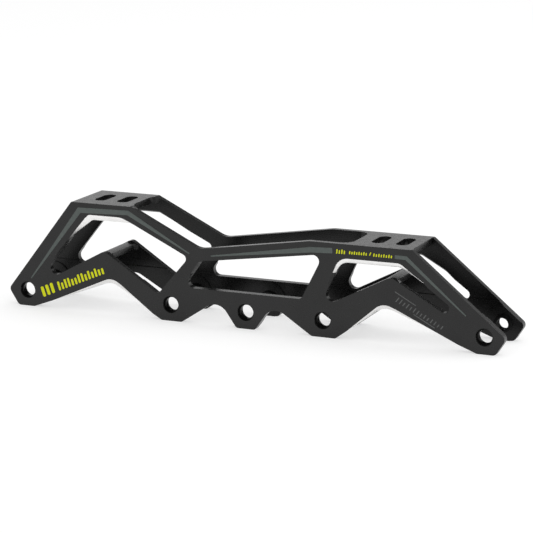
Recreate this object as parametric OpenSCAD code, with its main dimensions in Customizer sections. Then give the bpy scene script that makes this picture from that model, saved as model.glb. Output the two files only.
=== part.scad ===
// Bare frame of an inline skate: two milled side walls that carry five axle
// stations, joined by a heel deck, a toe deck and two low bridges.
// X runs from heel to toe, Z is up, and the tab bottoms stand on Z = 0.

/* [Wheel stations] */
// Distance from the rear axle to the front axle
wheelbase = 295; // [285:0.5:305]
// Height of the axle line above the tab bottoms
axle_z = 10; // [9.5:0.1:11]
// Diameter of the recess that takes an axle head
head_d = 10.4; // [9.8:0.1:11]
// Depth of that recess in the near wall
head_deep = 1.8; // [1.6:0.1:3]
// Bore of each near bush
axle_d = 8.2; // [7.8:0.1:8.8]
// Outside diameter of each far thread insert
insert_d = 11; // [10:0.25:12]
// Bore of each far thread insert
thread_d = 7; // [6.4:0.1:7.6]
// Diameter of the round pad inside the walls at each axle
pad_d = 21.6; // [20:0.2:23]
// Height of that pad
pad_h = 1.6; // [1.2:0.1:2.4]
// Distance between the bushes and the inserts, which hold a wheel's bearings
bearing_gap = 24.8; // [24:0.1:25.4]

/* [Side walls] */
// Width over both walls
frame_w = 38; // [36:0.5:42]
// Thickness of a wall
wall_t = 3.4; // [3:0.1:4]
// Height up to which a wall is thicker inside
band_z = 22.8; // [22:0.1:24]
// Extra thickness of that lower band
band_t = 0.8; // [0.4:0.1:1.2]
// Lowest point of the dip between the two decks
dip_z = 45.7; // [44:0.1:48]
// Height of the window sill over the middle wheels
sill_z = 21.5; // [20.5:0.1:23]
// Height of the rear wheel arch
rear_arch_z = 19.6; // [17:0.1:20.5]
// Height of the front wheel arch
front_arch_z = 21.2; // [19:0.1:22.5]
// Height of the small arches beside the middle wheel
mid_arch_z = 16.2; // [14.5:0.1:17]
// Height of the low rear arm where the bridge joins it
rear_peak_z = 38.9; // [37:0.1:40]
// Height of the low front arm where the bridge joins it
front_peak_z = 39.6; // [38:0.1:40.5]

/* [Decks] */
// Height of the heel deck's top
heel_z = 67.6; // [66:0.1:72]
// Height of the toe deck's top
toe_z = 56.4; // [55.5:0.1:60]
// Thickness of both decks
deck_t = 4; // [3:0.1:5]
// Length of a mounting slot across the deck
slot_len = 18.5; // [14:0.5:22]
// Width of a mounting slot
slot_w = 7.4; // [6.4:0.1:8.6]
// Distance from the rearmost slot to the foremost one
mount_long = 195; // [185:0.5:205]
// Distance between the two slots of a deck
slot_gap = 15; // [13:0.5:17]
// Middle of the four slots, ahead of the middle axle
mount_x = -4.2; // [-8:0.1:0]
// Corner radius of the open well between the decks
well_r = 7; // [5:0.5:9]
// Height of the sides of both bridges
bridge_side = 2.5; // [1.8:0.1:4]

/* [Bevels and trim] */
// Height of the bright bevel over the heel window
heel_bevel = 3.2; // [2.5:0.05:3.6]
// Height of the bright bevel over the toe window
toe_bevel = 2.6; // [2:0.1:3.2]
// Rise of the bright bevel at the rear wheel arch
rear_bevel = 3.5; // [2.6:0.1:4.2]
// Rise of the bright bevel at the front wheel arch
front_bevel = 3.1; // [2.2:0.1:3.8]
// Widest width of the heel stripe
heel_stripe_w = 3.3; // [2.2:0.1:3.8]
// Widest width of the middle stripe
mid_stripe_w = 3.2; // [2.2:0.1:3.6]
// Widest width of the toe stripe
toe_stripe_w = 2.2; // [1.6:0.1:2.8]
// Thickness of the trim stripes
stripe_t = 0.15; // [0.1:0.05:0.3]

/* [Hidden] */
$fn = 64;

// Axle stations, numbered from heel to toe, a bay apart except at the extra middle one
bay = wheelbase / 3;
end_x = wheelbase / 2;
mid_x = bay / 2;
axle_x = [-end_x, -mid_x, 0, mid_x, end_x];
rear_axle = [-end_x, axle_z];
second_axle = [-mid_x, axle_z];
fourth_axle = [mid_x, axle_z];
front_axle = [end_x, axle_z];

// Middle of each deck's two slots
heel_x = mount_x - (mount_long - slot_gap) / 2;
toe_x = mount_x + (mount_long - slot_gap) / 2;

// Faces of the near wall across the frame, and the ridge where its upper window edges meet
out_y = -frame_w / 2;
in_y = out_y + wall_t;
pad_y = in_y + pad_h;
ridge_y = out_y + wall_t * 0.53;
bearing_y = -bearing_gap / 2;

// Reach of each tab's foot from its axle
end_tip = 13;
end_foot = 6.6;
end_heel = 4.3;
mid_foot = 7;
lag_foot = 6.2;
lead_foot = 7.9;
small_foot = 6;

// Corner radii of the side outline
tip_r = 3.2;
foot_r = 2.5;
arch_r = 10;
mid_arch_r = 9;
deck_r = 1.2;
brow_r = 14;
dip_r = 12;

// Reach of each deck's flat behind and ahead of its slots
heel_rear = 20.9;
heel_fore = 19.4;
toe_rear = 44.8;
toe_fore = 18.2;
heel_l = heel_x - heel_rear;
heel_r = heel_x + heel_fore;
toe_l = toe_x - toe_rear;
toe_r = toe_x + toe_fore;
// Distance from the second axle to the dip
dip_step = 19.8;
dip = [dip_step - mid_x, dip_z];

// Crowns of the wheel arches on the wall's inner face, and peaks of the low arms
// that the bridges join, as shares of the bay from the end axle
rear_crown = [bay * 0.5827 - end_x, rear_arch_z];
front_crown = [end_x - bay * 0.6214, front_arch_z];
rear_peak = [bay * 0.5512 - end_x, rear_peak_z];
front_peak = [end_x - bay * 0.5715, front_peak_z];
// Place of the small arches, as a share of the way to the next axle
mid_crown_x = mid_x * 0.353;

// Height of the bar between a deck's top and the window under it
heel_bar = 10.35;
toe_bar = 11;
heel_rear_sill = [heel_l, heel_z - heel_bar];
heel_fore_sill = [heel_r, heel_z - heel_bar];
toe_rear_sill = [toe_l, toe_z - toe_bar];
toe_fore_sill = [toe_r, toe_z - toe_bar];

// Number of steps on each rounded corner
steps = 8;
// How far a cutter runs past the face it cuts
over = 1;
// The same for a cutter that makes a bevel
skim = 0.2;
// Narrow land that a bevel leaves on the inner face
land = 0.3;

function unit(v) = v / norm(v);
function turn(a) = a > 180 ? a - 360 : a < -180 ? a + 360 : a;
function blend(a, b, k) = a + (b - a) * k;
function flat(v) = [v.x, v.y];
function turned(v) = [for (i = [len(v) - 1 : -1 : 0]) v[i]];

// Arc that rounds the corner q between p and s
function round_corner(p, q, s, r) =
    let (u = unit(p - q), v = unit(s - q))
    let (half = acos(u * v) / 2)
    let (c = q + unit(u + v) * r / sin(half))
    let (a = q + u * r / tan(half) - c, b = q + v * r / tan(half) - c)
    let (a0 = atan2(a.y, a.x), sweep = turn(atan2(b.y, b.x) - a0))
    [for (i = [0 : steps]) c + r * [cos(a0 + sweep * i / steps), sin(a0 + sweep * i / steps)]];

// Closed outline from corners given as [x, z, radius]
function rounded(c) =
    let (n = len(c))
    [for (i = [0 : n - 1])
        each (c[i].z > 0
            ? round_corner(flat(c[(i + n - 1) % n]), flat(c[i]), flat(c[(i + 1) % n]), c[i].z)
            : [flat(c[i])])];

// Height at x, and place at height z, on the line through a and b
function on_line(a, b, x) = a.y + (b.y - a.y) * (x - a.x) / (b.x - a.x);
function at_height(a, b, z) = a.x + (b.x - a.x) * (z - a.y) / (b.y - a.y);

// Side outline of a wall, from the heel tip along the floor to the toe and back
wall_corners = [
    [-end_x - end_tip, axle_z, tip_r],
    [-end_x - end_foot, 0, tip_r],
    [-end_x + end_heel, 0, tip_r],
    [rear_crown.x, rear_crown.y, arch_r],
    [-mid_x - lag_foot, 0, foot_r],
    [-mid_x + mid_foot, 0, foot_r],
    [-mid_crown_x, mid_arch_z, mid_arch_r],
    [-small_foot, 0, foot_r],
    [small_foot, 0, foot_r],
    [mid_crown_x, mid_arch_z, mid_arch_r],
    [mid_x - mid_foot, 0, foot_r],
    [mid_x + lead_foot, 0, foot_r],
    [front_crown.x, front_crown.y, arch_r],
    [end_x - end_heel, 0, tip_r],
    [end_x + end_foot, 0, tip_r],
    [end_x + end_tip, axle_z, tip_r],
    [toe_r, toe_z, deck_r],
    [toe_l, toe_z, brow_r],
    [dip.x, dip.y, dip_r],
    [heel_r, heel_z, deck_r],
    [heel_l, heel_z, deck_r]];

// Corner of radius r, a step away from a place
function corner(place, step, r) = [place.x + step.x, place.y + step.y, r];

// The three windows on the inner face: the step of each corner from what it lies beside
rear_nook = [4.6, 2.3];
rear_valley = [-8.5, 5.7];
dip_rear = [-7.35, -6];
heel_fore_step = [1, 0];
heel_rear_step = [13.6, 0];
heel_arm_step = [1.6, -8.9];
sill_rear = [8.3, 0];
sill_fore = [-13.4, 0];
brow = [9, 3.9];
dip_fore = [1, -7.4];
fore_valley = [-2.5, 6.75];
front_nook_low = [-23.2, 10.9];
front_nook_high = [-19.7, 15.3];
toe_arm_step = [6.3, -7.6];
toe_fore_step = [-7.4, 0];
toe_rear_step = [19.2, 0];

// Their corner radii, small, middle and large
valley_r = 1.8;
nook_r = 2.8;
knee_r = 3.7;
fork_r = 4.1;
sill_r = 5;
peak_r = 6;
toe_sill_r = 7;

heel_window = [
    corner(rear_axle, rear_nook, fork_r),
    corner(rear_peak, [0, 0], knee_r),
    corner(second_axle, rear_valley, valley_r),
    corner(dip, dip_rear, nook_r),
    corner(heel_fore_sill, heel_fore_step, nook_r),
    corner(heel_rear_sill, heel_rear_step, knee_r),
    corner(heel_rear_sill, heel_arm_step, 0)];
mid_window = [
    corner([-mid_x, sill_z], sill_rear, knee_r),
    corner([mid_x, sill_z], sill_fore, knee_r),
    corner(toe_rear_sill, brow, knee_r),
    corner(dip, dip_fore, peak_r)];
toe_window = [
    corner(fourth_axle, fore_valley, fork_r),
    corner(front_peak, [0, 0], sill_r),
    corner(front_axle, front_nook_low, nook_r),
    corner(front_axle, front_nook_high, nook_r),
    corner(toe_fore_sill, toe_arm_step, 0),
    corner(toe_fore_sill, toe_fore_step, knee_r),
    corner(toe_rear_sill, toe_rear_step, toe_sill_r)];

module wall_2d() {
    difference() {
        polygon(rounded(wall_corners));
        polygon(rounded(heel_window));
        polygon(rounded(mid_window));
        polygon(rounded(toe_window));
    }
}

// Stands a flat outline up as a plate from y0 to y1
module plate(y0, y1) {
    translate([0, y1, 0])
        rotate([90, 0, 0])
            linear_extrude(y1 - y0)
                children();
}

// Cylinder across the frame from y0 to y1 at an axle station
module cross_pin(x, d, y0, y1) {
    translate([x, y1, axle_z])
        rotate([90, 0, 0])
            cylinder(d = d, h = y1 - y0);
}

// Cutter that widens from the outline lo at y0 to the outline hi at y1, and narrows on from
// there for a reach before y0
module fan_cut(lo, hi, y0, y1, reach = skim) {
    n = len(lo);
    depth = abs(y1 - y0);
    way = sign(y1 - y0);
    start = [for (i = [0 : n - 1]) blend(hi[i], lo[i], 1 + reach / depth)];
    end = [for (i = [0 : n - 1]) blend(lo[i], hi[i], 1 + skim / depth)];
    pts = concat([for (p = start) [p.x, y0 - way * reach, p.y]],
        [for (p = end) [p.x, y1 + way * skim, p.y]]);
    sides = [for (i = [0 : n - 1]) let (j = (i + 1) % n)
        each [[i, n + j, j], [i, n + i, n + j]]];
    caps = [[for (i = [0 : n - 1]) i], [for (i = [n - 1 : -1 : 0]) n + i]];
    polyhedron(points = pts, faces = [for (f = concat(caps, sides)) way < 0 ? f : turned(f)]);
}

// Place on the edge from a to b of a window, a narrow land inside it
function fade_point(a, b, k, side) = [blend(a.x, b.x, k) + side * land, blend(a.y, b.y, k) - land, 0];

// The same place on the outer face, where the bevel down a window's rear edge ends
edge_lip = [-1.2, 0.3];
function lip_point(a, b, k) = corner(blend(flat(a), flat(b), k), edge_lip, 0);

// Bevel over the heel window and down its rear edge. The rim is its edge on the outer face,
// with corners as steps from the sill's rear end
heel_fade = [0.46, 0.57, 0.65];
heel_rim = [[9.3, -2.2], [11.6, 0]];
heel_rim_r = [16, 3];
module heel_bevel_cut() {
    w = heel_window;
    high = heel_rear_sill.y + heel_bevel;
    foot = [
        fade_point(w[0], w[6], heel_fade[0], 1),
        [rear_peak.x, rear_peak.y, 0],
        fade_point(w[3], w[4], heel_fade[2], 0)];
    fan_cut(
        rounded(concat(foot, [
            [w[4].x - 2 * land, w[4].y - land, w[4].z],
            [w[5].x, w[5].y - land, w[5].z],
            [w[6].x + land, w[6].y - land, 0],
            fade_point(w[0], w[6], heel_fade[1], 1)])),
        rounded(concat(foot, [
            [at_height(w[3], w[4], high), high, heel_rim_r[0]],
            corner([heel_l, high], heel_rim[1], heel_rim_r[1]),
            corner([heel_l, high], heel_rim[0], 0),
            lip_point(w[0], w[6], heel_fade[1])])),
        ridge_y, out_y);
}

// Black bevels on the inner side of the heel and toe windows' upper edges, up to the ridge
back_step = [0.3, 0.9];
back_land = land / 2;
heel_back_fade = 0.3;
module heel_back_cut() {
    w = heel_window;
    foot = [
        [w[6].x + land, w[6].y - land, 0],
        [rear_peak.x, rear_peak.y, 0],
        fade_point(w[3], w[4], heel_back_fade, 0)];
    fan_cut(
        rounded(concat(foot, [
            corner(w[4], [-back_land, -back_land], w[4].z),
            corner(w[5], [0, -back_land], w[5].z)])),
        rounded(concat(foot, [
            corner(w[4], back_step, w[4].z),
            corner(w[5], [0, back_step.y], w[5].z)])),
        ridge_y, in_y);
}

toe_back_fade = [0.85, 0.5];
module toe_back_cut() {
    w = toe_window;
    foot = [
        fade_point(w[0], w[6], toe_back_fade[0], 1),
        [front_peak.x, front_peak.y, 0],
        fade_point(w[3], w[4], toe_back_fade[1], 0)];
    fan_cut(
        rounded(concat(foot, [
            corner(w[4], [-back_land, -back_land], 0),
            corner(w[5], [-back_land, -back_land], w[5].z),
            corner(w[6], [back_land, -back_land], w[6].z)])),
        rounded(concat(foot, [
            corner(w[4], back_step, 0),
            corner(w[5], back_step, w[5].z),
            corner(w[6], [0, back_step.y], w[6].z)])),
        ridge_y, in_y, ridge_y - out_y + skim);
}

// Bevel over the toe window, down its rear edge and along the front arm. The rim leans from
// the window's corners and lies above the bend of the arm
toe_lean = [-0.19, -0.04];
toe_lift = 0.8;
toe_fade = [0.42, 0.55, 0.75];
toe_rim_r = [4, 8];
module toe_bevel_cut() {
    w = toe_window;
    high = toe_rear_sill.y + toe_bevel;
    foot = [
        fade_point(w[0], w[6], toe_fade[0], 1),
        [front_peak.x, front_peak.y, 0],
        fade_point(w[3], w[4], toe_fade[2], 0)];
    fan_cut(
        rounded(concat(foot, [
            [w[4].x - land, w[4].y - land, 0],
            [w[5].x - land, w[5].y - land, w[5].z],
            [w[6].x + land, w[6].y - land, w[6].z],
            fade_point(w[0], w[6], toe_fade[1], 1)])),
        rounded(concat(foot, [
            [w[4].x, w[4].y + toe_lift, 0],
            [w[5].x + toe_bevel * toe_lean[1], high, toe_rim_r[0]],
            [w[6].x + toe_bevel * toe_lean[0], high, toe_rim_r[1]],
            lip_point(w[0], w[6], toe_fade[1])])),
        ridge_y, out_y, in_y - ridge_y + skim);
}

// Bevel down the rear edge of the middle window: fades out above the sill and along the top
mid_fade = [0.38, 0.5, 0.85];
module mid_bevel_cut() {
    w = mid_window;
    middle = blend(flat(w[0]), flat(w[2]), 0.5);
    foot = [
        fade_point(w[0], w[3], mid_fade[0], 1),
        [middle.x, middle.y, 0],
        fade_point(w[2], w[3], mid_fade[2], 0)];
    fan_cut(
        rounded(concat(foot, [
            [w[3].x + land, w[3].y - land, w[3].z],
            fade_point(w[0], w[3], mid_fade[1], 1)])),
        rounded(concat(foot, [
            corner(w[3], edge_lip, w[3].z),
            lip_point(w[0], w[3], mid_fade[1])])),
        in_y, out_y);
}

// Bevel round a wheel arch: fades out towards the tab on each side
arch_fade = 0.12;
arch_rim_r = 9;
rear_slip = 1.9;
front_slip = 0;
module arch_bevel_cut(foot_l, foot_r, crown, rise, slip) {
    low_z = crown.y * arch_fade - land;
    foot = [
        [blend(foot_l, crown.x, arch_fade), low_z, 0],
        [crown.x, -over, 0],
        [blend(foot_r, crown.x, arch_fade), low_z, 0]];
    fan_cut(
        rounded(concat(foot, [[crown.x, crown.y - land, arch_r]])),
        rounded(concat(foot, [[crown.x + slip, crown.y + rise, arch_rim_r]])),
        in_y, out_y);
}

// One wall as the near one stands, without its axle holes
module rail() {
    difference() {
        union() {
            plate(out_y, in_y) wall_2d();
            plate(in_y, in_y + band_t)
                intersection() {
                    wall_2d();
                    translate([-wheelbase, 0]) square([2 * wheelbase, band_z]);
                }
            plate(in_y, pad_y)
                intersection() {
                    wall_2d();
                    for (x = axle_x) translate([x, axle_z]) circle(d = pad_d);
                }
        }
        heel_bevel_cut();
        heel_back_cut();
        toe_bevel_cut();
        toe_back_cut();
        mid_bevel_cut();
        arch_bevel_cut(-end_x + end_heel, -mid_x - lag_foot, rear_crown, rear_bevel, rear_slip);
        arch_bevel_cut(mid_x + lead_foot, end_x - end_heel, front_crown, front_bevel, front_slip);
    }
}

module near_rail() {
    color([0.17, 0.17, 0.17])
        difference() {
            rail();
            for (x = axle_x) cross_pin(x, head_d, out_y - over, pad_y + over);
        }
}

module far_rail() {
    color([0.17, 0.17, 0.17])
        difference() {
            mirror([0, 1, 0]) rail();
            for (x = axle_x) cross_pin(x, insert_d, -pad_y - over, -out_y + over);
        }
}

// Open well between the decks, and the short horns that run past its ends along the walls
heel_scoop = 1.9;
toe_scoop = 24.4;
well_x0 = heel_r - heel_scoop;
well_x1 = toe_l + toe_scoop;
horn = well_r * 0.85;
// How far a deck's end face stands in from the corner of the side outline
heel_inset = 0.3;
toe_inset = 0.6;

module well_2d() {
    polygon(rounded([
        [well_x0, in_y, well_r],
        [well_x1, in_y, well_r],
        [well_x1, -in_y, well_r],
        [well_x0, -in_y, well_r]]));
}

module slot_2d(x) {
    half = (slot_len - slot_w) / 2;
    for (s = [-1, 1])
        translate([x, s * half]) circle(d = slot_w);
    translate([x - slot_w / 2, -half]) square([slot_w, 2 * half]);
}

// Plate between the walls from x0 to x1, with two slots across it and the well's end
module deck(x0, x1, top, slots_x) {
    difference() {
        plate(in_y, -in_y)
            intersection() {
                polygon(rounded(wall_corners));
                translate([x0, top - deck_t]) square([x1 - x0, deck_t + over]);
            }
        translate([0, 0, top - deck_t - over])
            linear_extrude(deck_t + 2 * over) {
                well_2d();
                for (s = [-1, 1]) slot_2d(slots_x + s * slot_gap / 2);
            }
    }
}

module heel_deck() {
    color([0.45, 0.45, 0.45])
        deck(heel_l + heel_inset, well_x0 + horn, heel_z, heel_x);
}

module toe_deck() {
    color([0.45, 0.45, 0.45])
        deck(well_x1 - horn, toe_r - toe_inset, toe_z, toe_x);
}

// Bar between the walls under the peak of the low arms, its top flattened just below their
// upper edges. It widens in a fillet on its toe side where it meets each wall
bridge_drop = 0.1;
bridge_low_r = 1;
bridge_side_r = 0.6;
bridge_cap = 2.6;
bridge_fall = 0.7;
bridge_fillet = 3;
bridge_horn = bridge_fillet * 0.85;
bridge_back = 4.5;
bridge_fore = 2.8;
module bridge(l, peak, r) {
    fore_x = peak.x + bridge_fore;
    tip_x = fore_x + bridge_horn;
    z_l = on_line(l, peak, peak.x - bridge_back) - bridge_drop;
    z_cap = on_line(l, peak, peak.x - bridge_cap) - bridge_drop;
    z_r = on_line(peak, r, tip_x) - bridge_drop;
    low_l = z_l - bridge_side;
    low_r = z_r - bridge_side;
    difference() {
        plate(in_y, -in_y)
            polygon(rounded([
                [peak.x - bridge_back, low_l, bridge_low_r],
                [peak.x, low_l, bridge_low_r],
                [tip_x, low_r, bridge_low_r],
                [tip_x, z_r, bridge_side_r],
                [fore_x, z_cap - bridge_fall, bridge_side_r],
                [peak.x - bridge_cap, z_cap, bridge_side_r],
                [peak.x - bridge_back, z_l, bridge_side_r]]));
        translate([0, 0, low_r - over])
            linear_extrude(peak.y)
                polygon(rounded([
                    [fore_x, in_y, bridge_fillet],
                    [tip_x + bridge_fillet, in_y, 0],
                    [tip_x + bridge_fillet, -in_y, 0],
                    [fore_x, -in_y, bridge_fillet]]));
    }
}

module rear_bridge() {
    color([0.3, 0.3, 0.3])
        bridge(heel_window[0], rear_peak, heel_window[2]);
}

module front_bridge() {
    color([0.3, 0.3, 0.3])
        bridge(toe_window[0], front_peak, toe_window[2]);
}

// Ring pressed into the near wall behind the axle head; it stands proud inside the wall
module near_bush(i) {
    color([0.14, 0.14, 0.14])
        difference() {
            cross_pin(axle_x[i], head_d, out_y + head_deep, bearing_y);
            cross_pin(axle_x[i], axle_d, out_y, bearing_y + over);
        }
}

// Threaded ring pressed into the far wall; it stands proud as far
module far_insert(i) {
    color([0.14, 0.14, 0.14])
        difference() {
            cross_pin(axle_x[i], insert_d, -bearing_y, -out_y);
            cross_pin(axle_x[i], thread_d, -bearing_y - over, -out_y + over);
        }
}

// Band along a path of [x, z, width], mitred at its corners
function side_of(p, q) = let (d = unit(flat(q) - flat(p))) [-d.y, d.x];
function mitre(c, i) =
    let (a = i > 0 ? side_of(c[i - 1], c[i]) : side_of(c[0], c[1]))
    let (b = i < len(c) - 1 ? side_of(c[i], c[i + 1]) : a)
    (a + b) / (1 + a * b) * c[i].z / 2;
function band(c) = concat(
    [for (i = [0 : len(c) - 1]) flat(c[i]) + mitre(c, i)],
    [for (i = [len(c) - 1 : -1 : 0]) flat(c[i]) - mitre(c, i)]);

// Trim stripes follow the top edge, and thin out towards the axles and the dip
thin_w = 0.7;
heel_thin = 0.85;
rear_tail = [2.9, 7.7];
heel_rear_turn = [5.5, -4.75];
heel_fore_turn = [-1.7, -3.9];
dip_tail = [-6.6, -3.4];
dip_head = [7.4, -3.6];
brow_turn = [1, -5];
brow_end = [14.5, -4.4];
toe_start = [-10.2, -4.75];
toe_turn = [-3.35, -4.9];
front_tail = [-10.9, 11.3];
heel_path = [
    corner(rear_axle, rear_tail, thin_w),
    corner([heel_l, heel_z], heel_rear_turn, heel_stripe_w),
    corner([heel_r, heel_z], heel_fore_turn, heel_stripe_w * heel_thin),
    corner(dip, dip_tail, thin_w)];
mid_path = [
    corner(dip, dip_head, thin_w),
    corner([toe_l, toe_z], brow_turn, mid_stripe_w),
    corner([toe_l, toe_z], brow_end, mid_stripe_w)];
toe_path = [
    corner([toe_r, toe_z], toe_start, toe_stripe_w),
    corner([toe_r, toe_z], toe_turn, toe_stripe_w),
    corner(front_axle, front_tail, thin_w)];

module stripe(path) {
    color([0.33, 0.36, 0.35])
        plate(out_y - stripe_t, out_y)
            polygon(band(path));
}

module near_heel_stripe() {
    stripe(heel_path);
}

module near_mid_stripe() {
    stripe(mid_path);
}

module near_toe_stripe() {
    stripe(toe_path);
}

module far_heel_stripe() {
    mirror([0, 1, 0]) stripe(heel_path);
}

module far_mid_stripe() {
    mirror([0, 1, 0]) stripe(mid_path);
}

module far_toe_stripe() {
    mirror([0, 1, 0]) stripe(toe_path);
}

near_rail();
far_rail();
heel_deck();
toe_deck();
rear_bridge();
front_bridge();
near_bush(0);  // near_bush_1
near_bush(1);  // near_bush_2
near_bush(2);  // near_bush_3
near_bush(3);  // near_bush_4
near_bush(4);  // near_bush_5
far_insert(0);  // far_insert_1
far_insert(1);  // far_insert_2
far_insert(2);  // far_insert_3
far_insert(3);  // far_insert_4
far_insert(4);  // far_insert_5
near_heel_stripe();
near_mid_stripe();
near_toe_stripe();
far_heel_stripe();
far_mid_stripe();
far_toe_stripe();
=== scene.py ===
import bpy
import bmesh
import math
from mathutils import Matrix, Vector


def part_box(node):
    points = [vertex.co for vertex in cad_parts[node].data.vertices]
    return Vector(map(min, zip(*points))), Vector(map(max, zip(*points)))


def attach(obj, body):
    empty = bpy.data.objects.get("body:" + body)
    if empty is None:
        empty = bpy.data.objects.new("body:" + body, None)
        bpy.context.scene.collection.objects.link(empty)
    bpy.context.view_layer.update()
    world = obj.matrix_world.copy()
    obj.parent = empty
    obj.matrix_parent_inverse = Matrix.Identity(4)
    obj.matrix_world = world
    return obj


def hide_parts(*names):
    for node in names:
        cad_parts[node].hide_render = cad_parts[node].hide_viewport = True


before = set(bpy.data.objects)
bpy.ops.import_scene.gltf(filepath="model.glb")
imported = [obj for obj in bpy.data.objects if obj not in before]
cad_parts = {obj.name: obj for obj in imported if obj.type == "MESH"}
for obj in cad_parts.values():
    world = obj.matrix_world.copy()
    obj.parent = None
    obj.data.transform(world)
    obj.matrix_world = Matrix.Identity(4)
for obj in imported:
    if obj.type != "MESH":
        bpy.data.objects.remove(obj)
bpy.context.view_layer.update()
mm = 0.001
print("frame loaded with", len(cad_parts), "nodes")

# where the walls stand, read from the frame
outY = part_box("near_rail")[0].y       # outer face of the near wall
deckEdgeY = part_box("heel_deck")[0].y  # inner face of the near wall, where the decks start
touch = 0.02 * mm                     # points this near count as on a face
axleSpots = [sum(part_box(f"near_bush_{i}"), Vector()) / 2 for i in range(1, 6)]


# camera, at the photograph's angle
shot = {
    "azimuth": 24.603, "elevation": 13.326, "roll": -0.590,  # degrees
    "across": 4.45 * mm, "up": 32.66 * mm,                   # middle of the picture, from the origin
    "distance": 1.30163, "lens": 147.56, "sensor": 36.0,
}


def addCamera(s):
    turn = (Matrix.Rotation(math.radians(s["azimuth"]), 4, "Z")
            @ Matrix.Rotation(math.radians(90 - s["elevation"]), 4, "X")
            @ Matrix.Rotation(math.radians(s["roll"]), 4, "Z"))
    lensData = bpy.data.cameras.new("shotCamera")
    lensData.lens = s["lens"]
    lensData.sensor_width = s["sensor"]
    lensData.clip_end = 50
    cam = bpy.data.objects.new("shotCamera", lensData)
    bpy.context.scene.collection.objects.link(cam)
    cam.matrix_world = turn @ Matrix.Translation((s["across"], s["up"], s["distance"]))
    bpy.context.scene.camera = cam


addCamera(shot)
bpy.context.scene.view_settings.view_transform = "Standard"
print("camera set")


# node helpers
def newTree(name):
    mat = bpy.data.materials.new(name)
    mat.use_nodes = True
    mat.node_tree.nodes.clear()
    return mat, mat.node_tree


def add(tree, kind, **settings):
    node = tree.nodes.new(kind)
    for key, value in settings.items():
        setattr(node, key, value)
    return node


def wire(tree, source, target):
    tree.links.new(source, target)


def noise(tree, scale, detail=3.0, stretch=(1, 1, 1)):
    coords = add(tree, "ShaderNodeTexCoord")
    place = add(tree, "ShaderNodeMapping")
    place.inputs["Scale"].default_value = stretch
    tex = add(tree, "ShaderNodeTexNoise")
    tex.inputs["Scale"].default_value = scale
    tex.inputs["Detail"].default_value = detail
    wire(tree, coords.outputs["Object"], place.inputs["Vector"])
    wire(tree, place.outputs["Vector"], tex.inputs["Vector"])
    return tex.outputs["Fac"]


def remap(tree, source, low, high, start=0.3, end=0.7):
    node = add(tree, "ShaderNodeMapRange")
    node.inputs["From Min"].default_value = start
    node.inputs["From Max"].default_value = end
    node.inputs["To Min"].default_value = low
    node.inputs["To Max"].default_value = high
    wire(tree, source, node.inputs["Value"])
    return node.outputs["Result"]


def twoTone(tree, source, dark, light, start=0.35, end=0.65):
    ramp = add(tree, "ShaderNodeValToRGB")
    ramp.color_ramp.elements[0].position = start
    ramp.color_ramp.elements[0].color = (*dark, 1)
    ramp.color_ramp.elements[1].position = end
    ramp.color_ramp.elements[1].color = (*light, 1)
    wire(tree, source, ramp.inputs["Fac"])
    return ramp.outputs["Color"]


def bump(tree, source, strength, depth, under=None):
    node = add(tree, "ShaderNodeBump")
    node.inputs["Strength"].default_value = strength
    node.inputs["Distance"].default_value = depth
    wire(tree, source, node.inputs["Height"])
    if under:
        wire(tree, under, node.inputs["Normal"])
    return node.outputs["Normal"]


def shader(tree, ior=1.45, metallic=0.0):
    node = add(tree, "ShaderNodeBsdfPrincipled")
    node.inputs["IOR"].default_value = ior
    node.inputs["Metallic"].default_value = metallic
    out = add(tree, "ShaderNodeOutputMaterial")
    wire(tree, node.outputs["BSDF"], out.inputs["Surface"])
    return node


# floor, world and lamp
studio = {
    "floorSize": 14.0, "floorColour": (0.5, 0.5, 0.5), "floorGlow": 0.56,
    "skyLevel": 0.8, "skySteps": ((0.24, 1.0), (0.42, 0.12), (0.8, 0.05)),
    "lampPower": 9.0, "lampSize": 1.6, "lampAt": (0.8, 0.3, 1.6),
}


def seenDirectly(tree):
    path = add(tree, "ShaderNodeLightPath")
    total = path.outputs["Is Camera Ray"]
    for name in ("Is Glossy Ray", "Is Transmission Ray"):
        either = add(tree, "ShaderNodeMath", operation="MAXIMUM")
        wire(tree, total, either.inputs[0])
        wire(tree, path.outputs[name], either.inputs[1])
        total = either.outputs[0]
    return total


def addFloor(s):
    mesh = bpy.data.meshes.new("floor")
    half = s["floorSize"] / 2
    corners = [(-half, -half, 0), (half, -half, 0), (half, half, 0), (-half, half, 0)]
    mesh.from_pydata(corners, [], [(0, 1, 2, 3)])
    floor = bpy.data.objects.new("floor", mesh)
    bpy.context.scene.collection.objects.link(floor)
    mat, tree = newTree("paleFloor")
    paint = add(tree, "ShaderNodeBsdfDiffuse")
    paint.inputs["Color"].default_value = (*s["floorColour"], 1)
    glow = add(tree, "ShaderNodeEmission")
    strength = add(tree, "ShaderNodeMath", operation="MULTIPLY")
    strength.inputs[1].default_value = s["floorGlow"]
    wire(tree, seenDirectly(tree), strength.inputs[0])
    wire(tree, strength.outputs[0], glow.inputs["Strength"])
    both = add(tree, "ShaderNodeAddShader")
    wire(tree, paint.outputs[0], both.inputs[0])
    wire(tree, glow.outputs[0], both.inputs[1])
    out = add(tree, "ShaderNodeOutputMaterial")
    wire(tree, both.outputs[0], out.inputs["Surface"])
    mesh.materials.append(mat)


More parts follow.
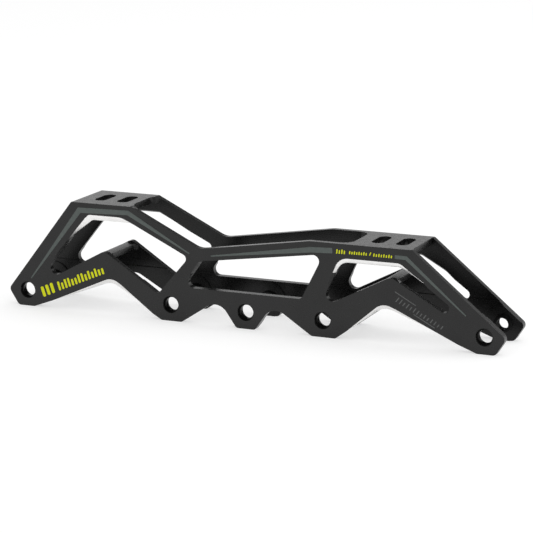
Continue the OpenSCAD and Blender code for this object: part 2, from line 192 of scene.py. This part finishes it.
def addWorld(s):
    world = bpy.data.worlds.new("studio")
    world.use_nodes = True
    bpy.context.scene.world = world
    tree = world.node_tree
    tree.nodes.clear()
    coords = add(tree, "ShaderNodeTexCoord")
    axes = add(tree, "ShaderNodeSeparateXYZ")
    wire(tree, coords.outputs["Generated"], axes.inputs[0])
    # white round the horizon, dark overhead
    sky = add(tree, "ShaderNodeValToRGB")
    sky.color_ramp.elements.new(0.5)
    for element, (height, level) in zip(sky.color_ramp.elements, s["skySteps"]):
        element.position = height
        element.color = (level, level, level, 1)
    wire(tree, axes.outputs["Z"], sky.inputs["Fac"])
    shown = add(tree, "ShaderNodeBackground")
    wire(tree, sky.outputs["Color"], shown.inputs["Color"])
    soft = add(tree, "ShaderNodeBackground")
    soft.inputs["Color"].default_value = (1, 1, 1, 1)
    soft.inputs["Strength"].default_value = s["skyLevel"]
    pick = add(tree, "ShaderNodeMixShader")
    wire(tree, seenDirectly(tree), pick.inputs["Fac"])
    wire(tree, soft.outputs[0], pick.inputs[1])
    wire(tree, shown.outputs[0], pick.inputs[2])
    out = add(tree, "ShaderNodeOutputWorld")
    wire(tree, pick.outputs[0], out.inputs["Surface"])


def addLamp(s):
    data = bpy.data.lights.new("softbox", "AREA")
    data.energy = s["lampPower"]
    data.size = s["lampSize"]
    lamp = bpy.data.objects.new("softbox", data)
    bpy.context.scene.collection.objects.link(lamp)
    lamp.location = s["lampAt"]
    lamp.rotation_mode = "QUATERNION"
    lamp.rotation_quaternion = (-Vector(s["lampAt"])).to_track_quat("-Z", "Y")


addFloor(studio)
addWorld(studio)
addLamp(studio)
print("studio set")


# finishes
insideFinish = {"pitch": 1.1 * mm, "depth": 0.012 * mm, "bump": 0.35, "wander": 0.6 * mm, "wanderScale": 40}


# rings left by the cutter round the nearest axle
def ringsRoundAxles(tree, s):
    coords = add(tree, "ShaderNodeTexCoord")
    flatten = add(tree, "ShaderNodeVectorMath", operation="MULTIPLY")
    flatten.inputs[1].default_value = (1, 0, 1)
    wire(tree, coords.outputs["Object"], flatten.inputs[0])
    nearest = None
    for spot in axleSpots:
        reach = add(tree, "ShaderNodeVectorMath", operation="DISTANCE")
        reach.inputs[1].default_value = (spot.x, 0, spot.z)
        wire(tree, flatten.outputs[0], reach.inputs[0])
        if nearest is None:
            nearest = reach.outputs["Value"]
            continue
        least = add(tree, "ShaderNodeMath", operation="MINIMUM")
        wire(tree, nearest, least.inputs[0])
        wire(tree, reach.outputs["Value"], least.inputs[1])
        nearest = least.outputs[0]
    wander = add(tree, "ShaderNodeMath", operation="MULTIPLY_ADD")
    wander.inputs[1].default_value = s["wander"]
    wire(tree, noise(tree, s["wanderScale"], 2), wander.inputs[0])
    wire(tree, nearest, wander.inputs[2])
    turns = add(tree, "ShaderNodeMath", operation="MULTIPLY")
    turns.inputs[1].default_value = 2 * math.pi / s["pitch"]
    wire(tree, wander.outputs[0], turns.inputs[0])
    wave = add(tree, "ShaderNodeMath", operation="SINE")
    wire(tree, turns.outputs[0], wave.inputs[0])
    return wave.outputs[0]


blackFinish = {
    "dark": (0.0065, 0.0065, 0.0066), "light": (0.0105, 0.0105, 0.0106), "ior": 1.43,
    "mottle": 60, "rough": (0.24, 0.31), "roughScale": 540,
    "grain": 5200, "grainBump": 0.25, "grainDepth": 0.02 * mm,
}


def blackAnodised(name, s, toolMarks=False, lift=1.0, ior=None):
    mat, tree = newTree(name)
    body = shader(tree, ior=ior or s["ior"])
    mottle = noise(tree, s["mottle"], 5)
    dark = [c * lift for c in s["dark"]]
    light = [c * lift for c in s["light"]]
    wire(tree, twoTone(tree, mottle, dark, light), body.inputs["Base Color"])
    wire(tree, remap(tree, noise(tree, s["roughScale"], 4), *s["rough"]), body.inputs["Roughness"])
    surface = bump(tree, noise(tree, s["grain"], 2), s["grainBump"], s["grainDepth"])
    if toolMarks:
        rings = ringsRoundAxles(tree, insideFinish)
        surface = bump(tree, rings, insideFinish["bump"], insideFinish["depth"], surface)
    wire(tree, surface, body.inputs["Normal"])
    return mat


cutFinish = {
    "dark": (0.92, 0.915, 0.905), "light": (0.98, 0.975, 0.965), "rough": (0.36, 0.46), "metal": 0.85,
    "lines": 900, "stretch": (0.05, 1, 1), "bump": 0.3, "depth": 0.006 * mm, "mottle": 120,
    "fade": (42.3 * mm, 50.5 * mm), "archTop": 30 * mm,  # the heel's cut dies out downwards
}


# 1 where the cut is bare metal, down to 0 at the foot of the heel's cut
def bareShare(tree, s):
    axes = add(tree, "ShaderNodeSeparateXYZ")
    wire(tree, add(tree, "ShaderNodeTexCoord").outputs["Object"], axes.inputs[0])
    share = add(tree, "ShaderNodeMath", operation="POWER")
    share.inputs[1].default_value = 2
    wire(tree, remap(tree, axes.outputs["Z"], 0, 1, *s["fade"]), share.inputs[0])
    for operation, axis, limit in (("GREATER_THAN", "X", 0), ("LESS_THAN", "Z", s["archTop"])):
        test = add(tree, "ShaderNodeMath", operation=operation)
        test.inputs[1].default_value = limit
        wire(tree, axes.outputs[axis], test.inputs[0])
        most = add(tree, "ShaderNodeMath", operation="MAXIMUM")
        wire(tree, share.outputs[0], most.inputs[0])
        wire(tree, test.outputs[0], most.inputs[1])
        share = most
    return share.outputs[0]


def brightCut(s):
    mat, tree = newTree("brightCut")
    body = shader(tree, metallic=s["metal"])
    lines = noise(tree, s["lines"], 3, s["stretch"])
    tone = add(tree, "ShaderNodeVectorMath", operation="SCALE")
    wire(tree, twoTone(tree, noise(tree, s["mottle"], 4), s["dark"], s["light"]), tone.inputs[0])
    wire(tree, bareShare(tree, s), tone.inputs["Scale"])
    wire(tree, tone.outputs[0], body.inputs["Base Color"])
    wire(tree, remap(tree, lines, *s["rough"]), body.inputs["Roughness"])
    wire(tree, bump(tree, lines, s["bump"], s["depth"]), body.inputs["Normal"])
    return mat


# printed film: trim stripes and marks, dark and light tone of each
film = {
    "stripeGrey": ((0.104, 0.122, 0.115), (0.117, 0.137, 0.129)),
    "markYellow": ((0.86, 0.91, 0.004), (0.93, 0.97, 0.007)),
    "markGrey": ((0.11, 0.113, 0.112), (0.14, 0.144, 0.143)),
    "ior": 1.4, "mottle": 700, "rough": (0.36, 0.48), "roughScale": 900,
    "grain": 4200, "grainBump": 0.2, "grainDepth": 0.012 * mm,
}


def printedFilm(name, s):
    mat, tree = newTree(name)
    body = shader(tree, ior=s["ior"])
    wire(tree, twoTone(tree, noise(tree, s["mottle"], 4), *s[name]), body.inputs["Base Color"])
    wire(tree, remap(tree, noise(tree, s["roughScale"], 3), *s["rough"]), body.inputs["Roughness"])
    wire(tree, bump(tree, noise(tree, s["grain"], 2), s["grainBump"], s["grainDepth"]), body.inputs["Normal"])
    return mat


wallBlack = blackAnodised("blackAnodised", blackFinish)
# the wall's inside faces: milled tool marks, with the black base darkened to 0.45 and a lower IOR as painted
# shade
insideShadedBlack = blackAnodised("milledInsidePaintedShade", blackFinish, toolMarks=True, lift=0.45, ior=1.36)
edgeBlack = blackAnodised("edgeAnodised", blackFinish, lift=1.6)
bushBlack = blackAnodised("bushBlack", blackFinish, lift=0.35, ior=1.25)
insertBlack = blackAnodised("insertBlack", blackFinish, lift=0.35, ior=1.25)
cutBright = brightCut(cutFinish)
stripeGrey = printedFilm("stripeGrey", film)
markYellow = printedFilm("markYellow", film)
markGrey = printedFilm("markGrey", film)
print("finishes made")


# walls, decks and bridges: the solids with broken edges
edgeBreak = {
    "width": 0.25 * mm, "segments": 2, "sharp": 25.0, "keepSharp": 40.0,
    "weld": 0.001 * mm, "tiny": 0.05 * mm, "closed": 0.004 * mm, "flat": 0.4, "seamSlack": 0.15 * mm,
}
hardEdge = 30  # degrees, from which rings and marks keep a crisp edge
# where the bevels were cut bright after the black finish, as x and z from corner to corner
brightZones = [
    ((-126.0, 41.6), (-60.0, 61.2)), ((56.9, 39.0), (96.0, 48.6)), ((96.0, 31.0), (119.6, 48.6)),
    ((-137.2, 1.9), (-59.2, 24.0)), ((60.2, 1.9), (136.8, 25.2)),
]
cutTurn = {"least": 0.1, "most": 0.985, "up": 0.05}  # how far a cut face may turn outwards and up
insideTurn = 0.9                                    # from here on a face counts as the wall's inside
crossNodes = ("heel_deck", "toe_deck", "rear_bridge", "front_bridge")
seams = [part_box(node) for node in crossNodes]


def weldedCopy(node, s):
    bm = bmesh.new()
    bm.from_mesh(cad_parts[node].data)
    bmesh.ops.remove_doubles(bm, verts=bm.verts, dist=s["weld"])
    bmesh.ops.dissolve_degenerate(bm, edges=bm.edges, dist=s["tiny"])
    bmesh.ops.dissolve_limit(bm, angle_limit=math.radians(s["flat"]), verts=bm.verts, edges=bm.edges)
    return bm


def splitAt(bm, spot, along):
    everything = bm.verts[:] + bm.edges[:] + bm.faces[:]
    bmesh.ops.bisect_plane(bm, geom=everything, dist=touch / 2, plane_co=spot, plane_no=along)


def isCutFace(face):
    spot = face.calc_center_median()
    outward = face.normal.y * (1 if spot.y > 0 else -1)
    if not cutTurn["least"] < outward < cutTurn["most"] or face.normal.z > cutTurn["up"]:
        return False
    return any(low[0] * mm < spot.x < high[0] * mm and low[1] * mm < spot.z < high[1] * mm
               for low, high in brightZones)


# edges that a deck or bridge runs up against stay as they are
def onSeam(edge):
    ends = [v.co for v in edge.verts]
    if any(abs(abs(c.y) - abs(deckEdgeY)) > touch for c in ends):
        return False
    spot = (ends[0] + ends[1]) / 2
    slack = edgeBreak["seamSlack"]
    return any(low.x - slack <= spot.x <= high.x + slack and low.z - slack <= spot.z <= high.z + slack
               for low, high in seams)


def breakEdges(bm, s, skip):
    sharp = [e for e in bm.edges if e.is_manifold and e.calc_face_angle() > math.radians(s["sharp"])]
    sharp = [e for e in sharp if not skip(e)]
    bmesh.ops.bevel(bm, geom=sharp, offset=s["width"], offset_type="OFFSET", segments=s["segments"],
                    profile=0.5, affect="EDGES", clamp_overlap=True, loop_slide=True, material=1)


def finishPiece(bm, name, mats, sharp):
    for face in bm.faces:
        face.smooth = True
    for edge in bm.edges:
        edge.smooth = not (edge.is_manifold and edge.calc_face_angle() > math.radians(sharp))
    mesh = bpy.data.meshes.new(name)
    bm.to_mesh(mesh)
    bm.free()
    for mat in mats:
        mesh.materials.append(mat)
    piece = bpy.data.objects.new(name, mesh)
    bpy.context.scene.collection.objects.link(piece)
    even = piece.modifiers.new("evenShading", "WEIGHTED_NORMAL")
    even.keep_sharp = True
    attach(piece, "root")
    return piece


def dressRail(node, name, insideWay, s):
    bm = weldedCopy(node, s)
    for low, high in seams:
        splitAt(bm, low, (1, 0, 0))
        splitAt(bm, high, (1, 0, 0))
    for low, high in brightZones[:2]:  # the upper cuts end at a height
        splitAt(bm, (0, 0, low[1] * mm), (0, 0, 1))
    for face in bm.faces:
        # faces turned into the frame get the inside finish, whose darker base and weaker reflection are
        # painted shade
        inside = face.normal.y * insideWay > insideTurn
        face.material_index = 3 if isCutFace(face) else 2 if inside else 0
    breakEdges(bm, s, lambda e: onSeam(e) or any(isCutFace(f) for f in e.link_faces))
    piece = finishPiece(bm, name, [wallBlack, edgeBlack, insideShadedBlack, cutBright], s["keepSharp"])
    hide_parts(node)


# the decks' slots, with a wider break round their upper edge
slots = {
    "x": (-101.7, -86.7, 78.3, 93.3),  # middles, in mm
    "halfWide": 4.5 * mm, "halfLong": 9.5 * mm, "width": 0.55 * mm,
}


def inSlot(edge, s, extra=0):
    return all(abs(v.co.y) < s["halfLong"] + extra
               and any(abs(v.co.x - x * mm) < s["halfWide"] + extra for x in s["x"]) for v in edge.verts)


def dressCross(node, name, s):
    bm = weldedCopy(node, s)
    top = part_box(node)[1].z
    rims = [e for e in bm.edges if inSlot(e, slots) and all(abs(v.co.z - top) < touch for v in e.verts)]
    bmesh.ops.bevel(bm, geom=rims, offset=slots["width"], offset_type="OFFSET", segments=1, profile=0.5,
                    affect="EDGES", clamp_overlap=True, loop_slide=True)
    breakEdges(bm, s, lambda e: inSlot(e, slots, slots["width"])
               or all(abs(abs(v.co.y) - abs(deckEdgeY)) < touch for v in e.verts))
    # breaks that closed up at a corner leave no faces behind
    bmesh.ops.remove_doubles(bm, verts=bm.verts, dist=s["closed"])
    bmesh.ops.dissolve_degenerate(bm, edges=bm.edges, dist=s["closed"])
    piece = finishPiece(bm, name, [wallBlack, edgeBlack], s["keepSharp"])
    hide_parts(node)


dressRail("near_rail", "nearWall", 1, edgeBreak)
dressRail("far_rail", "farWall", -1, edgeBreak)
for node, name in zip(crossNodes, ("heelDeck", "toeDeck", "rearBridge", "frontBridge")):
    dressCross(node, name, edgeBreak)
print("walls, decks and bridges dressed")


# ring from rows of (y, radius), where a radius may change with the angle
def ringFromRows(rows, spot, sides):
    bm = bmesh.new()
    loops = []
    for y, radius in rows:
        loop = []
        for k in range(sides):
            a = 2 * math.pi * k / sides
            r = radius(a) if callable(radius) else radius
            loop.append(bm.verts.new((spot.x + r * math.cos(a), y, spot.z + r * math.sin(a))))
        loops.append(loop)
    for one, two in zip(loops, loops[1:] + loops[:1]):
        for k in range(sides):
            n = (k + 1) % sides
            bm.faces.new((one[k], one[n], two[n], two[k]))
    bmesh.ops.recalc_face_normals(bm, faces=bm.faces)
    return bm


# bushes behind the axle heads: plain ring, broken at the bore's mouth and the back's outer rim, and eased at
# the back
bush = {
    "bore": 4.1 * mm, "mouth": 0.5 * mm, "back": 0.6 * mm, "backDeep": 1.8 * mm,
    "rim": 0.3 * mm, "sides": 64,
}


def addBush(i, s):
    node = f"near_bush_{i}"
    low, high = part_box(node)
    spot = (low + high) / 2
    outer = (high.x - low.x) / 2
    rows = [(low.y, outer), (low.y, s["bore"] + s["mouth"]), (low.y + s["mouth"], s["bore"]),
            (high.y - s["backDeep"], s["bore"]), (high.y, s["bore"] + s["back"]),
            (high.y, outer - s["rim"]), (high.y - s["rim"], outer)]
    piece = finishPiece(ringFromRows(rows, spot, s["sides"]), f"nearBush{i}", [bushBlack], hardEdge)
    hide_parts(node)


# inserts in the far wall: ring with a cut thread and a countersunk mouth at both ends
insert = {
    "minor": 3.5 * mm, "major": 4.0 * mm, "pitch": 1.0 * mm, "mouth": 3.85 * mm,
    "step": 0.125 * mm, "rim": 0.3 * mm, "sides": 48,
}


def addInsert(i, s):
    node = f"far_insert_{i}"
    low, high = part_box(node)
    spot = (low + high) / 2
    outer = (high.x - low.x) / 2
    count = round((high.y - low.y) / s["step"])

    def cutAt(y):
        mouth = s["mouth"] - min(y - low.y, high.y - y)

        def radius(a):
            turn = ((y - low.y) / s["pitch"] + a / (2 * math.pi)) % 1
            flank = min(max((abs(2 * turn - 1) - 0.2) / 0.6, 0), 1)
            return max(s["minor"] + (s["major"] - s["minor"]) * flank, mouth)
        return radius

    rows = []
    for k in range(count + 1):
        y = low.y + (high.y - low.y) * k / count
        rows.append((y, cutAt(y)))
    rows += [(high.y, outer - s["rim"]), (high.y - s["rim"], outer),
             (low.y + s["rim"], outer), (low.y, outer - s["rim"])]
    piece = finishPiece(ringFromRows(rows, spot, s["sides"]), f"farInsert{i}", [insertBlack], hardEdge)
    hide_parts(node)


for i in range(1, 6):
    addBush(i, bush)
    addInsert(i, insert)
print("bushes and inserts made")

for side in ("near", "far"):
    for place in ("heel", "mid", "toe"):
        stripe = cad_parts[f"{side}_{place}_stripe"]
        stripe.data.materials.clear()
        stripe.data.materials.append(stripeGrey)
print("trim stripes finished")


# plain marks in place of the print on the near wall, as x and z in mm
def addMark(name, shapes, mat, thick):
    bm = bmesh.new()
    for shape in shapes:
        low = [bm.verts.new((x * mm, outY, z * mm)) for x, z in shape]
        high = [bm.verts.new((x * mm, outY - thick, z * mm)) for x, z in shape]
        bm.faces.new(low)
        bm.faces.new(high)
        for k in range(len(shape)):
            n = (k + 1) % len(shape)
            bm.faces.new((low[k], low[n], high[n], high[k]))
    bmesh.ops.recalc_face_normals(bm, faces=bm.faces)
    return finishPiece(bm, name, [mat], hardEdge)


def bar(start, end, width):
    along = (Vector(end) - Vector(start)).normalized() * width / 2
    side = Vector((-along.y, along.x))
    a, b = Vector(start), Vector(end)
    nip = along * 0.5
    return [a - side + nip, a - side * 0.5, a + side * 0.5, a + side + nip,
            b + side - nip, b + side * 0.5, b - side * 0.5, b - side - nip]


# bars across a line from start to end, each leaning and as tall as its share of the row
def barRow(start, end, tall, shares, width, lean):
    a, b = Vector(start), Vector(end)
    along = (b - a).normalized()
    up = Vector((-along.y, along.x)) + along * lean
    shapes = []
    for k, share in enumerate(shares):
        t = (k + 0.5) / len(shares)
        foot = a + (b - a) * t
        height = tall[0] + (tall[1] - tall[0]) * t
        shapes.append(bar(foot, foot + up * height * share, width))
    return shapes


rearMark = {
    "wideStart": (-137.0, 6.1), "wideEnd": (-127.4, 10.4), "wideTall": (6.4, 6.4), "wideWidth": 2.1,
    "start": (-125.6, 11.3), "end": (-93.0, 25.1), "tall": (5.6, 5.0),
    "shares": (1, 0.75, 1, 1, 0.75, 0.75, 1, 1, 0.75, 1, 0.75, 1, 0.75, 0.75), "width": 1.45, "lean": 0.1,
    "thick": 0.08 * mm,
}
sizeMark = {
    "groups": (((57.4, 50.5), (63.6, 50.6), 4, 2.6), ((65.4, 50.8), (77.0, 50.9), 8, 1.9),
               ((80.2, 50.7), (92.4, 50.7), 8, 1.9)),
    "stroke": ((78.4, 51.1), (79.3, 53.0)), "width": 0.75, "lean": 0.15, "thick": 0.08 * mm,
}
frontMark = {
    "lines": (((93.9, 31.4), (106.6, 24.4)), ((105.3, 19.2), (118.1, 12.4))), "lineWidth": 0.5,
    "start": (93.4, 26.0), "end": (122.6, 11.6), "tall": (3.4, 2.4),
    "shares": (1, 1, 0.8, 1, 0.8, 1, 1, 0.8, 1, 0.8, 1, 1, 0.8, 1), "width": 0.6, "lean": 0.2,
    "thick": 0.06 * mm,
}

shapes = barRow(rearMark["wideStart"], rearMark["wideEnd"], rearMark["wideTall"], (1, 1, 1),
                rearMark["wideWidth"], rearMark["lean"])
shapes += barRow(rearMark["start"], rearMark["end"], rearMark["tall"], rearMark["shares"],
                 rearMark["width"], rearMark["lean"])
addMark("rearMark", shapes, markYellow, rearMark["thick"])
shapes = [bar(*sizeMark["stroke"], sizeMark["width"] * 0.7)]
for start, end, count, tall in sizeMark["groups"]:
    shapes += barRow(start, end, (tall, tall), (1, 0.8) * (count // 2), sizeMark["width"], sizeMark["lean"])
addMark("sizeMark", shapes, markYellow, sizeMark["thick"])
shapes = [bar(start, end, frontMark["lineWidth"]) for start, end in frontMark["lines"]]
shapes += barRow(frontMark["start"], frontMark["end"], frontMark["tall"], frontMark["shares"],
                 frontMark["width"], frontMark["lean"])
addMark("frontMark", shapes, markGrey, frontMark["thick"])
print("marks made")
